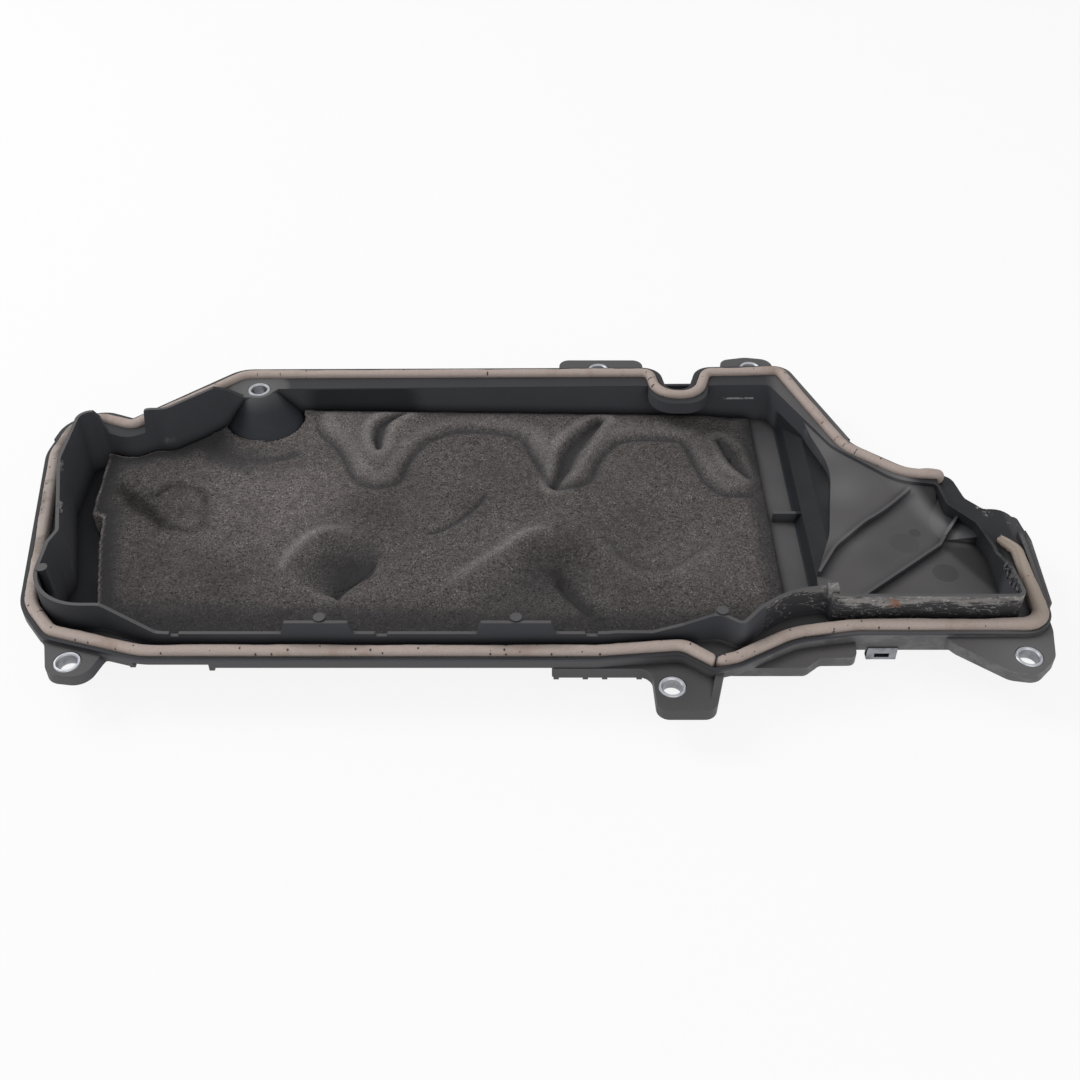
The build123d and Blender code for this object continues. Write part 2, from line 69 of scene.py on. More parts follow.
SLEEVES = sorted(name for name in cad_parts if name.startswith("sleeve_"))

# Relief lines of the foam pad in plan, millimetres
BANK_LINE = [
    (-129, 98), (-129, 92), (-125, 79.5), (-119, 72), (-112, 61.5), (-106, 48), (-101.5, 38.5),
    (-93, 32.5), (-85, 32.5), (-77, 37.5), (-73, 55), (-65.5, 71), (-57.5, 78.5), (-49, 83),
    (-35, 84), (-20, 82), (-10, 77.5), (-5.5, 66), (0, 51.5), (4.5, 39), (9, 33), (15, 34),
    (27.5, 41), (32, 54), (37, 65), (46, 76.5), (60, 80), (74, 80), (82, 77), (86.5, 63),
    (91.5, 44), (100, 32), (110, 31), (118, 32), (128, 33),
]
SLOT_LEFT = [(-80, 98), (-87.5, 92), (-91.5, 85), (-92, 73), (-91, 64)]
SLOT_MIDDLE = [(8.5, 36), (13, 48.5), (18, 66), (26, 81), (35, 95)]
SLOT_RIGHT = [(103, 77), (107, 68), (111, 55), (116, 46)]
CREST_LEFT = [
    (-104, -57), (-111, -54), (-119, -50), (-126, -44), (-129, -37), (-127.5, -29), (-124.5, -21),
    (-120, -14), (-115, -9), (-109, -6), (-103, -5.5), (-97, -8),
]
CREASE_LEFT = [
    (-103.5, -57), (-100.5, -51.5), (-97, -46), (-92.5, -41), (-87.5, -36.5), (-84.5, -29),
    (-85, -18), (-89, -8),
]
CREST_MIDDLE = [
    (-52, -52), (-43, -42), (-32.5, -32), (-20.5, -21), (-14.5, -13.5), (-8, -7), (1.5, -3),
    (9, -7), (16, -14),
]
FURROW = [(8, -33), (11, -39), (15.5, -47), (20, -54), (25, -61), (29, -67)]
FOLD_LINE = [(-62, -7), (-54, -4.5), (-46.5, 1.5), (-37.5, 11.5), (-31, 23), (-27, 32)]
DISC_EDGE = [(33, -2), (38.5, -12.5), (47.5, -26.5), (59.5, -31), (72, -26.5), (86, -12.5), (96, -3)]
SMUDGE_LINE = [(-227, 27), (-219, 18), (-210.5, 9.5), (-203.5, 3), (-198, -3)]
PATCH_EDGE = [
    (-206, 22), (-202, 27), (-197, 30), (-187, 26.5), (-181, 21), (-178, 5), (-178, -7), (-193, -6),
]

# Painted light and shade on the foam, as lighter and darker patches given as (x, y, reach, change)
FOAM_LIGHT_AND_SHADE_PATCHES = [
    (-138, 20, 42, 0.42), (92, -25, 24, 0.3), (108, 0, 18, 0.15), (-18, -10, 16, 0.15),
    (-112, 92, 26, 0.25), (5, 76, 10, 0.3), (44, 95, 9, 0.3), (-82, 92, 16, 0.12),
    (-84, 4, 20, -0.24), (114, 64, 9, -0.3), (13, -17, 14, -0.18), (5, -30, 17, -0.3),
    (103, 78, 17, -0.45), (-76, 45, 9, -0.18), (-214, 14, 11, -0.3), (-35, 16, 9, -0.2),
    (-95, 22, 12, -0.15), (75, 50, 30, 0.05), (-190, 10, 13, -0.2), (-160, -45, 22, -0.18),
]

# Painted shade in the hollow of the foam, as dark patches that end at the left crease, given in the same way
HOLLOW_SHADE_PATCHES = [(-106, -32, 16, -0.45), (-94, -32, 10, -0.35), (-98, -46, 9, -0.3)]

# Painted highlights and shade on the pocket and the lugs as plan place, height over the lip, reach and tone
PLASTIC_HIGHLIGHT_AND_SHADE_PATCHES = [
    (162.5, 22.5, -8, 9, 0.17), (165, 55, -4, 9, 0.15), (158, -16, -10, 7, 0.15),
    (186.5, -17, -11, 14, 0.07), (214, -40, -11, 12, 0.06), (173, -32, -11, 9, 0.07),
    (60, -123, -8.5, 17, 0.05), (225, -107, -5.5, 18, 0.17), (-163, 103, 0, 10, 0.16),
    (222, -17, -5, 6, 0.2),
]

# The fold across the pocket, with a painted highlight along it: a plan place on it, and its direction across
POCKET_FOLD = (200, 10)
POCKET_FOLD_ACROSS = (0.875, 0.485)

# Foot of the boss in plan, and how far it reaches into the foam
BOSS_FOOT = (-103, 92)
BOSS_REACH = 50

# Torn scraps as plan place, height over the lip, and half sizes
SCRAPS = [
    (136.8, -76.4, 12.4, 1.8, 1.8, 2.4), (136.4, -75.8, 13.8, 1.4, 1.4, 1.1),
    (226.2, -56, 6.2, 0.8, 1.4, 2.6), (226.1, -61, 7.8, 0.8, 1.2, 3.0),
    (226.0, -66, 8.6, 0.9, 1.6, 3.0), (225.9, -71, 9.5, 0.8, 1.2, 3.0),
    (225.8, -76, 10.4, 0.8, 1.4, 2.8), (-251.0, 15.5, 13.2, 1.2, 4.2, 0.8),
    (-249.8, 11, 13.0, 1.2, 1.9, 0.8), (-242.3, -18, 13.2, 1.2, 3.2, 0.9),
    (-241.2, -21.5, 12.8, 1.4, 1.4, 0.9),
]

# Centre lines of the two seals
SEAL_MAIN_LINE = [
    (80, -113), (73, -107), (64, -103), (45, -104.6), (26, -106), (-80, -106.2), (-175, -106.1),
    (-190, -104.2), (-229, -93), (-239, -82), (-244, -72), (-254, -18), (-263, 38), (-262, 56),
    (-257, 68), (-247, 73.5), (-228, 68.5), (-200, 93), (-177, 113.5), (-165, 117.1), (-50, 118.1),
    (58, 119), (65, 115), (69, 104), (79.5, 97), (90, 104), (96, 115), (103, 119.7), (138, 120.8),
    (144, 112), (164, 56), (173, 42), (188, 30), (200, 24), (213, 23),
]
SEAL_RIGHT_LINE = [
    (232.6, -25), (238, -33), (239, -45), (237.6, -76), (234, -86.5), (225, -89.5), (160, -89.5),
    (145, -90), (120, -94), (106, -101.5), (90, -110.3), (80, -113),
]
SEALS = (("rim_seal_main", SEAL_MAIN_LINE), ("rim_seal_right", SEAL_RIGHT_LINE))

# Where the run of the right seal starts, and stretches of the run as start, full, fading and end
RIGHT_SEAL_RUN = 1700
CROWDED_PORES = (128, 138, 172, 180)
GRIMY_LEFT = (320, 350, 480, 510)
OLIVE_TIP = (RIGHT_SEAL_RUN - 5, RIGHT_SEAL_RUN, RIGHT_SEAL_RUN + 50, RIGHT_SEAL_RUN + 90)

# Round ejector marks of the pocket's floor as plan place, reach and depth of tone
EJECTOR_MARKS = ((204, -41.5, 6.5, 0.35), (195, -11, 3.0, 0.3), (188, -19, 7.5, 0.15))

# Scuffs on the walls and residue at the mouth as plan place, height over the lip and reach
SCUFFS = ((-209, 62, -7, 2.2), (-205, 63, -7, 2.0), (152, 70, -5.4, 2.4), (153, 66, -6.5, 1.8))
RESIDUE = ((232, -1, -3, 4), (242, -14, -3, 3), (246, -30, -3, 3), (234, -6, -3, 3))

# Tones of wear and dirt over the main colours, with painted shade for the seal's corners, a painted highlight
# for the pocket's fold and fuzz with a painted highlight for the foam's crests
FOAM_PIT = (0.020, 0.018, 0.019, 1)
FOAM_FIBRE = (0.36, 0.34, 0.335, 1)
FOAM_FUZZ_HIGHLIGHT = (0.27, 0.252, 0.246, 1)
SEAL_OLIVE = (0.31, 0.265, 0.19, 1)
SEAL_GREY = (0.40, 0.375, 0.345, 1)
SEAL_GRIME = (0.15, 0.125, 0.105, 1)
SEAL_CORNER_SHADE = (0.09, 0.07, 0.06, 1)
SEAL_PORE = (0.04, 0.032, 0.03, 1)
PLASTIC_GRAIN = (0.13, 0.13, 0.135, 1)
SKIRT_RUB = (0.21, 0.205, 0.207, 1)
FOLD_HIGHLIGHT = (0.19, 0.187, 0.19, 1)
WALL_DIRT = (0.036, 0.035, 0.036, 1)
WALL_WEAR = (0.31, 0.293, 0.282, 1)
WALL_RIM = (0.25, 0.245, 0.24, 1)
STUB_WEAR = (0.26, 0.255, 0.25, 1)
WALL_LINES = (0.48, 0.46, 0.44, 1)
WALL_FLECKS = (0.60, 0.56, 0.52, 1)
RUST = (0.27, 0.11, 0.05, 1)
EJECTOR_TONE = (0.02, 0.02, 0.022, 1)
SCUFF_TONE = (0.20, 0.20, 0.21, 1)
RESIDUE_TONE = (0.5, 0.49, 0.47, 1)
SCRATCH_TONE = (0.5, 0.5, 0.52, 1)
SCRAP_WEAR = (0.20, 0.19, 0.18, 1)

# The stage: lamps as name, place, size and power, the light of the room, and the floor's half side and glow
LAMPS = (("key lamp", (-1.1, 0.5, 1.2), 0.9, 13.0), ("fill lamp", (0.3, -1.5, 1.1), 1.6, 8.0))
ROOM_LIGHT = 0.45
FLOOR_HALF = 3.0
FLOOR_GLOW = 0.88


def colour_property(name, description, tone):
    """Colour that can be set in the sidebar."""
    return FloatVectorProperty(name=name, description=description, subtype="COLOR", size=4, min=0, max=1,
                               default=tone + (1,))


class CoverSizes(bpy.types.PropertyGroup):
    """Sizes that change the look of the dressed cover."""

    camera_back: FloatProperty(
        name="Camera distance", description="How far the camera stands in front of the plan's middle",
        default=0.520, unit="LENGTH")
    camera_up: FloatProperty(
        name="Camera height", description="Height of the camera over the seal", default=0.433,
        unit="LENGTH")
    camera_tilt: FloatProperty(
        name="Camera tilt", description="How far the camera looks down", default=math.radians(41.5),
        subtype="ANGLE")
    lens: FloatProperty(name="Lens", description="Focal length of the camera in millimetres", default=43.33)
    foam_mesh: FloatProperty(
        name="Foam mesh", description="Mesh size of the foam pad", default=0.0013, unit="LENGTH")
    foam_relief: FloatProperty(
        name="Foam relief", description="How strongly the foam is shaped", default=1.0, min=0.0, max=1.5)
    seal_mesh: FloatProperty(
        name="Seal mesh", description="Mesh size of the rim seals", default=0.0008, unit="LENGTH")
    seal_swell: FloatProperty(
        name="Seal swelling", description="How far the seals swell and shrink along their length",
        default=0.00035, unit="LENGTH")


class CoverColours(bpy.types.PropertyGroup):
    """Colours of the dressed cover."""

    # Upright faces take a lighter copy of the black plastic as painted light, and sloping faces a darker copy
    # as painted shade.
    plastic_upright_lit: colour_property(
        "Plastic walls", "Scuffed black plastic of upright faces", (0.076, 0.078, 0.088))
    plastic_slope_shaded: colour_property(
        "Plastic slopes", "Clean black plastic of sloping faces", (0.023, 0.025, 0.030))
    plastic_black: colour_property(
        "Plastic black", "Deep shaded black plastic", (0.007, 0.008, 0.010))
    # Dust on upward faces, lighter than the dust alone as painted light on them.
    plastic_dust_and_light: colour_property(
        "Plastic dust", "Dull film on upward faces", (0.104, 0.100, 0.103))
    foam_dark: colour_property(
        "Foam dark", "Pits of the felted foam", (0.040, 0.037, 0.036))
    foam_light: colour_property(
        "Foam light", "Fibres of the felted foam", (0.184, 0.166, 0.160))
    # The foam's pressed skin, also used as painted shade in its valleys and creases.
    foam_skin: colour_property(
        "Foam skin", "Pressed edge and valleys of the foam", (0.043, 0.043, 0.046))
    seal: colour_property(
        "Seal", "Pale foam rubber", (0.47, 0.392, 0.357))
    seal_stain: colour_property(
        "Seal stain", "Stains on the foam rubber", (0.30, 0.215, 0.165))
    zinc: colour_property(
        "Zinc", "Plated steel sleeves", (0.45, 0.46, 0.49))
    zinc_dull: colour_property(
        "Dull zinc", "Dull places of the plated steel", (0.30, 0.31, 0.34))
    clip_dark: colour_property(
        "Dark clip", "Dirty places of the clip", (0.10, 0.10, 0.11))
    floor: colour_property(
        "Floor", "Pale floor", (0.9, 0.9, 0.9))


class Finish:
    """Short hand for one procedural material."""

    def __init__(self, name):
        self.material = bpy.data.materials.new(name)
        self.material.use_nodes = True
        self.tree = self.material.node_tree
        self.shader = self.tree.nodes["Principled BSDF"]
        coordinates = self.node("ShaderNodeTexCoord")
        self.place = coordinates.outputs["Object"]
        self.facing = self.split(coordinates.outputs["Normal"])
        self.at = self.split(self.place)

    def node(self, kind, **settings):
        made = self.tree.nodes.new(kind)
        for key, value in settings.items():
            setattr(made, key, value)
        return made

    def feed(self, socket, value):
        """Links a socket, or sets it where the value is plain."""
        if isinstance(value, bpy.types.NodeSocket):
            self.tree.links.new(value, socket)
        else:
            socket.default_value = value

    def set(self, **values):
        for key, value in values.items():
            self.feed(self.shader.inputs[key.replace("_", " ")], value)

    def split(self, vector):
        made = self.node("ShaderNodeSeparateXYZ")
        self.feed(made.inputs[0], vector)
        return made.outputs

    def noise(self, scale, detail=2.0, rough=0.5, place=None):
        made = self.node("ShaderNodeTexNoise")
        self.feed(made.inputs["Vector"], self.place if place is None else place)
        made.inputs["Scale"].default_value = scale
        made.inputs["Detail"].default_value = detail
        made.inputs["Roughness"].default_value = rough
        return made.outputs["Fac"]

    def math(self, operation, first, second=0.0):
        made = self.node("ShaderNodeMath", operation=operation)
        self.feed(made.inputs[0], first)
        self.feed(made.inputs[1], second)
        return made.outputs[0]

    def both(self, *masks):
        """Product of masks."""
        result = masks[0]
        for mask in masks[1:]:
            result = self.math("MULTIPLY", result, mask)
        return result

    def fit(self, value, low, high, to_low=0.0, to_high=1.0):
        """Maps a value smoothly from one range to another, clamped."""
        made = self.node("ShaderNodeMapRange", interpolation_type="SMOOTHSTEP")
        self.feed(made.inputs["Value"], value)
        made.inputs["From Min"].default_value = low
        made.inputs["From Max"].default_value = high
        made.inputs["To Min"].default_value = to_low
        made.inputs["To Max"].default_value = to_high
        return made.outputs["Result"]

    def between(self, value, start, full, fading, end):
        """1 between two values, with a soft rise before them and a soft fall after them."""
        return self.both(self.fit(value, start, full), self.fit(value, fading, end, 1.0, 0.0))

    def mix(self, amount, first, second, blend="MIX"):
        made = self.node("ShaderNodeMix", data_type="RGBA", blend_type=blend)
        self.feed(made.inputs[0], amount)
        self.feed(made.inputs[6], first)
        self.feed(made.inputs[7], second)
        return made.outputs[2]

    def cover(self, colour, mask, share, tone):
        """Lays a share of another tone over a colour, where a mask is 1."""
        return self.mix(self.math("MULTIPLY", mask, share), colour, tone)

    def vector(self, operation, first, second=(0, 0, 0)):
        made = self.node("ShaderNodeVectorMath", operation=operation)
        self.feed(made.inputs[0], first)
        self.feed(made.inputs[1], second)
        return made.outputs["Value"] if operation in ("LENGTH", "DISTANCE") else made.outputs["Vector"]

    def stretched(self, factors):
        """Place stretched by a factor along each axis."""
        return self.vector("MULTIPLY", self.place, factors)

    def within(self, axis, low, high, soft=1.0):
        """1 between two places along an axis, in plan millimetres, or in millimetres over the lip for Z."""
        shift = {"X": SHIFT_X, "Y": SHIFT_Y, "Z": LIP_TOP}[axis]
        low += shift
        high += shift
        return self.between(self.at[axis], (low - soft) * MM, low * MM, high * MM, (high + soft) * MM)

    def past(self, place, across):
        """How far a point lies past a plan place, along a plan direction."""
        start = across[0] * (place[0] + SHIFT_X) + across[1] * (place[1] + SHIFT_Y)
        along_x = self.math("MULTIPLY", self.at["X"], across[0])
        along_y = self.math("MULTIPLY", self.at["Y"], across[1])
        return self.math("SUBTRACT", self.math("ADD", along_x, along_y), start * MM)

    def spot(self, x, y, z, reach, soft, ragged=0.0):
        """1 round a plan place, falling to 0 over a soft edge, with a ragged outline."""
        centre = ((x + SHIFT_X) * MM, (y + SHIFT_Y) * MM, (z + LIP_TOP) * MM)
        gap = self.vector("DISTANCE", self.place, centre)
        if ragged:
            wave = self.math("MULTIPLY", self.math("SUBTRACT", self.noise(260, 3), 0.5), ragged * MM)
            gap = self.math("ADD", gap, wave)
        return self.fit(gap, (reach - soft) * MM, (reach + soft) * MM, 1.0, 0.0)

    def attribute(self, name):
        return self.node("ShaderNodeAttribute", attribute_name=name).outputs["Fac"]

    def corners(self, reach):
        """1 in the open, falling to 0 in tight corners."""
        made = self.node("ShaderNodeAmbientOcclusion", samples=6)
        made.inputs["Distance"].default_value = reach
        return made.outputs["AO"]

    def bump(self, height, distance, strength=1.0):
        made = self.node("ShaderNodeBump")
        made.inputs["Strength"].default_value = strength
        made.inputs["Distance"].default_value = distance
        self.feed(made.inputs["Height"], height)
        return made.outputs["Normal"]


def smooth_line(points, steps=8):
    """Dense smooth line through given points."""
    points = [np.array(point, float) for point in points]
    points = [2 * points[0] - points[1]] + points + [2 * points[-1] - points[-2]]
    line = []
    for before, start, end, after in zip(points, points[1:], points[2:], points[3:]):
        for step in range(steps):
            t = step / steps
            straight = 2 * start + (end - before) * t
            bend = (2 * before - 5 * start + 4 * end - after) * t**2
            twist = (3 * start - before - 3 * end + after) * t**3
            line.append(0.5 * (straight + bend + twist))
    line.append(points[-2])
    return np.array(line)


def along_line(line, x, y):
    """Run along a line, distance from it, positive on its left, and the line's whole length."""
    best = np.full(x.shape, 1e9)
    side = np.zeros(x.shape)
    run = np.zeros(x.shape)
    so_far = 0.0
    for (ax, ay), (bx, by) in zip(line[:-1], line[1:]):
        dx, dy = bx - ax, by - ay
        length = math.hypot(dx, dy)
        t = np.clip(((x - ax) * dx + (y - ay) * dy) / (length * length), 0, 1)
        gap_x = x - ax - t * dx
        gap_y = y - ay - t * dy
        gap = np.hypot(gap_x, gap_y)
        nearer = gap < best
        best = np.where(nearer, gap, best)
        side = np.where(nearer, np.sign(dx * gap_y - dy * gap_x), side)
        run = np.where(nearer, so_far + t * length, run)
        so_far += length
    return run, best * side, so_far


def side_distance(points, x, y):
    """Signed distance from a smooth line through given points."""
    return along_line(smooth_line(points), x, y)[1]


def ease(value, low, high):
    """Smooth step from 0 to 1 between two values."""
    t = np.clip((value - low) / (high - low), 0, 1)
    return t * t * (3 - 2 * t)


def hump(distance, width):
    """1 at no distance, falling smoothly to 0 over a width."""
    return np.exp(-((distance / width) ** 2))


def lumps(x, y, size, seed):
    """Soft random lumps over a plan, from -1 to 1."""
    return np.array([noise.noise((a / size, b / size, seed)) for a, b in zip(x, y)])


def basin(x, y, crest, crease, height, depth, rise, foot):
    """One pressed scale: a crest, a fall to a crease, and a slow rise behind it."""
    past_crest = -side_distance(crest, x, y)
    past_crease = -side_distance(crease, x, y)
    across = np.clip(past_crest / np.maximum(past_crest - past_crease, 1e-6), 0, 1)
    fall = height - (height + depth) * across**0.8
    before = height * np.exp(np.minimum(past_crest, 0) / rise)
    behind = -depth * np.exp(-np.maximum(past_crease, 0) / foot)
    return np.where(past_crest < 0, before, np.where(past_crease < 0, fall, behind))


def taper(run, whole, start, end):
    """1 along a line, falling to 0 over a length at each of its ends."""
    return ease(run, 0, start) * (1 - ease(run, whole - end, whole))


def before_crease(x, y):
    """1 in the hollow on the left of the left crease, and 0 behind it."""
    return ease(side_distance(CREASE_LEFT, x, y), -1.5, 0.5)


def foam_relief(x, y):
    """Height in millimetres of the foam over its flat top, how pressed it is there, and its fuzz, laid on as
    a painted highlight along the crests and beside the slots.
    """
    run, bank = along_line(smooth_line(BANK_LINE), x, y)[:2]
    relief = 1.9 * ease(bank, 0, 7) - 1.5 * hump(bank, 2.0)
    # The pressed marks of the bank, the slots and the scales darken the foam as pressed skin and as painted
    # shade in the valleys and creases.
    pressed = 0.85 * hump(bank, 2.0) * ease(run, 4, 20)
    fuzz_and_highlight = 0.55 * hump(bank - 7, 5)
    for points, width, depth in ((SLOT_LEFT, 4.4, 3.0), (SLOT_MIDDLE, 6.8, 3.8), (SLOT_RIGHT, 5.0, 3.0)):
        run, gap, whole = along_line(smooth_line(points), x, y)
        half = width * (0.3 + 0.7 * np.sin(math.pi * (0.08 + 0.84 * run / whole)))
        inside = 1 - ease(np.abs(gap) / half, 0.25, 1.0)
        beside = hump(np.abs(gap) - half - 3.0, 3.2)
        relief += 0.9 * beside - depth * inside
        pressed = np.maximum(pressed, inside)
        fuzz_and_highlight = np.maximum(fuzz_and_highlight, 0.9 * beside)

    along = 0.67 * (x + 104) + 0.74 * (y + 53.5)
    fade = (1 - ease(along, 24, 46)) * ease(along, -10, -2)
    scale = basin(x, y, CREST_LEFT, CREASE_LEFT, 2.4, 6.0, 9, 2.5) * fade
    relief += scale
    pressed = np.maximum(pressed, np.clip(-scale / 5.0, 0, 1) * before_crease(x, y))
    fuzz_and_highlight = np.maximum(fuzz_and_highlight, fade * hump(side_distance(CREST_LEFT, x, y) - 2, 3.4))

    run, crest = along_line(smooth_line(CREST_MIDDLE), x, y)[:2]
    fade = ease(run, 0, 26) * (1 - ease(x, 10, 42))
    behind = 2.2 - 4.8 * ease(-crest, 0, 26) + 2.6 * ease(-crest, 28, 62)
    fall = np.where(crest > 0, 2.2 * np.exp(-crest / 8), behind)
    relief += fall * fade
    pressed = np.maximum(pressed, 0.5 * fade * np.clip(-fall / 2.6, 0, 1))
    fuzz_and_highlight = np.maximum(fuzz_and_highlight, fade * (1 - ease(x, -2, 12)) * hump(crest - 1.5, 3.0))

    run, furrow, whole = along_line(smooth_line(FURROW), x, y)
    fade = taper(run, whole, 10, 8)
    relief -= 4.2 * fade * hump(furrow, 3.4)
    pressed = np.maximum(pressed, fade * hump(furrow, 3.8))

    run, fold, whole = along_line(smooth_line(FOLD_LINE), x, y)
    fade = taper(run, whole, 6, 10)
    relief += fade * (0.9 * ease(-fold, -1, 3) * hump(fold, 13) - 1.5 * hump(fold, 1.7))
    pressed = np.maximum(pressed, 0.85 * fade * hump(fold, 1.6))

    run, disc, whole = along_line(smooth_line(DISC_EDGE), x, y)
    fade = taper(run, whole, 12, 12)
    relief += fade * (0.9 * hump(disc + 5, 5) - 0.7 * hump(disc, 1.8))
    pressed = np.maximum(pressed, 0.4 * fade * hump(disc, 1.6))
    fuzz_and_highlight = np.maximum(fuzz_and_highlight, 0.2 * fade * hump(disc + 5, 5))

    smudge = side_distance(SMUDGE_LINE, x, y)
    relief -= 1.2 * hump(smudge, 4)
    return relief, pressed, fuzz_and_highlight


def patch_sum(patches, x, y):
    """Sum of the changes that soft round patches make."""
    total = np.zeros(x.shape)
    for spot_x, spot_y, reach, change in patches:
        total += change * hump(np.hypot(x - spot_x, y - spot_y), reach)
    return total


def foam_light_and_shade(x, y):
    """Painted light and shade of the foam, with dark lines along the patch edge and the smudge, 1 where it is
    plain.
    """
    tone = 1 + patch_sum(HOLLOW_SHADE_PATCHES, x, y) * before_crease(x, y) + patch_sum(FOAM_LIGHT_AND_SHADE_PATCHES, x, y)
    # Painted shade towards the front wall and towards the left.
    tone -= 0.42 * ease(-y, 50, 76)
    tone -= 0.18 * ease(-x, 175, 205)
    tone -= 0.42 * hump(side_distance(PATCH_EDGE, x, y), 2.6)
    tone -= 0.5 * hump(side_distance(SMUDGE_LINE, x, y), 4.5)
    # Painted shade along the furrow.
    tone -= 0.35 * hump(side_distance(FURROW, x, y), 4.0)
    return np.maximum(tone, 0.25)


def outline_of(mesh):
    """Segments round the flat underside of a mesh, in plan millimetres."""
    low = min(vertex.co.z for vertex in mesh.vertices)
    count = {}
    for face in mesh.polygons:
        corners = [mesh.vertices[index].co for index in face.vertices]
        if max(corner.z for corner in corners) - low > 0.02 * MM:
            continue
        keys = [(round(corner.x / MM, 2), round(corner.y / MM, 2)) for corner in corners]
        for start, end in zip(keys, keys[1:] + keys[:1]):
            key = (min(start, end), max(start, end))
            count[key] = count.get(key, 0) + 1
    return [key for key, times in count.items() if times == 1 and key[0] != key[1]]


def edge_distance(segments, x, y):
    """Distance from plan points to the nearest of loose segments."""
    best = np.full(x.shape, 1e9)
    for start, end in segments:
        best = np.minimum(best, np.abs(along_line(np.array([start, end], float), x, y)[1]))
    return best


def soft_copy(node, name, mesh_size):
    """Evenly meshed copy of a CAD node, to be shaped further."""
    piece = bpy.data.objects.new(name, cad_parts[node].data.copy())
    bpy.context.scene.collection.objects.link(piece)
    remesh = piece.modifiers.new("even mesh", "REMESH")
    remesh.mode = "VOXEL"
    remesh.voxel_size = mesh_size
    remesh.use_smooth_shade = True
    shaped = bpy.data.meshes.new_from_object(piece.evaluated_get(bpy.context.evaluated_depsgraph_get()))
    piece.modifiers.clear()
    piece.data = shaped
    shaped.name = name
    shaped.materials.clear()
    return piece


def round_end(places, before, end, length):
    """Draws the free end of a seal in towards its centre line, over a length."""
    ahead = np.subtract(end, before) / math.dist(end, before)
    left = np.array([-ahead[1], ahead[0]])
    offset = places[:, :2] / MM - np.add(end, (SHIFT_X, SHIFT_Y))
    forward = offset @ ahead
    aside = offset @ left
    near = np.hypot(forward, aside) < 16
    from_tip = forward[near].max() - forward
    tip = np.where(near, np.clip(1 - from_tip / length, 0, 1), 0)
    narrow = 1 - np.sqrt(1 - 0.85 * tip**2)
    low = places[:, 2].min()
    places[:, :2] -= (aside * narrow * MM)[:, None] * left
    places[:, 2] -= 0.5 * (places[:, 2] - low) * narrow


def read_mesh(mesh):
    """Places and normals of a mesh as arrays."""
    places = np.empty(len(mesh.vertices) * 3)
    mesh.vertices.foreach_get("co", places)
    normals = np.empty(len(mesh.vertices) * 3)
    mesh.vertices.foreach_get("normal", normals)
    return places.reshape(-1, 3), normals.reshape(-1, 3)


def write_mesh(mesh, places):
    """Puts an array of places back into a mesh."""
    mesh.vertices.foreach_set("co", places.reshape(-1))
    mesh.update()


def paint(mesh, name, values):
    """Keeps one value for each point, for the finish to read."""
    layer = mesh.attributes.new(name, "FLOAT", "POINT")
    layer.data.foreach_set("value", np.asarray(values, float))


def hand_in(piece, node, material):
    """Puts a shaped piece in the place of its CAD node."""
    piece.data.materials.append(material)
    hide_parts(node)
    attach(piece, "root")


def plan_of(node):
    """Plan place of a node's middle."""
    middle = (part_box(node)[0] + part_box(node)[1]) / 2 / MM
    return middle.x - SHIFT_X, middle.y - SHIFT_Y


def dress(node, material):
    """Gives a CAD node that stays its finish."""
    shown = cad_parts[node]
    shown.data.materials.clear()
    shown.data.materials.append(material)


def foam_finish(colours):
    """Speckled felt with fibres and pits, pressed valleys darkened as painted shade, crests lightened as a
    painted highlight, and painted light and shade in patches.
    """
    made = Finish("felted foam")
    grain = made.noise(1050, detail=2, rough=0.7)
    flecks = made.noise(1700, detail=1, place=made.stretched((1, 0.6, 1)))
    pits = made.noise(640, detail=2, rough=0.6)
    clumps = made.noise(240, detail=3, rough=0.65)
    patches = made.noise(26, detail=3)
    fibres = made.both(made.fit(flecks, 0.58, 0.72), made.fit(clumps, 0.40, 0.62, 0.1, 1.0))
    colour = made.mix(made.fit(grain, 0.22, 0.80), tuple(colours.foam_dark), tuple(colours.foam_light))
    colour = made.mix(made.fit(pits, 0.30, 0.46, 0.85, 0.0), colour, FOAM_PIT)
    colour = made.mix(made.fit(clumps, 0.34, 0.52, 0.32, 0.0), colour, tuple(colours.foam_dark))
    colour = made.cover(colour, fibres, 0.8, FOAM_FIBRE)
    colour = made.mix(made.fit(patches, 0.40, 0.7, 0.0, 0.25), colour, tuple(colours.foam_dark))
    # Fuzz along the crests and beside the slots, lighter as a painted highlight.
    fuzz_highlight = made.both(made.attribute("fuzz_and_highlight"), made.fit(flecks, 0.40, 0.64, 0.2, 0.8))
    colour = made.mix(fuzz_highlight, colour, FOAM_FUZZ_HIGHLIGHT)
    # The tone attribute lays the painted light and shade over the foam.
    colour = made.mix(1.0, colour, made.attribute("tone"), blend="MULTIPLY")
    # Pressed skin, which is also painted shade in the valleys, creases and along the rims.
    colour = made.cover(colour, made.attribute("pressed"), 0.85, tuple(colours.foam_skin))
    height = made.math("ADD", grain, made.math("MULTIPLY", pits, 1.5))
    made.set(Base_Color=colour, Roughness=0.95, Specular_IOR_Level=0.12,
             Normal=made.bump(height, 0.0006, 0.7))
    return made.material


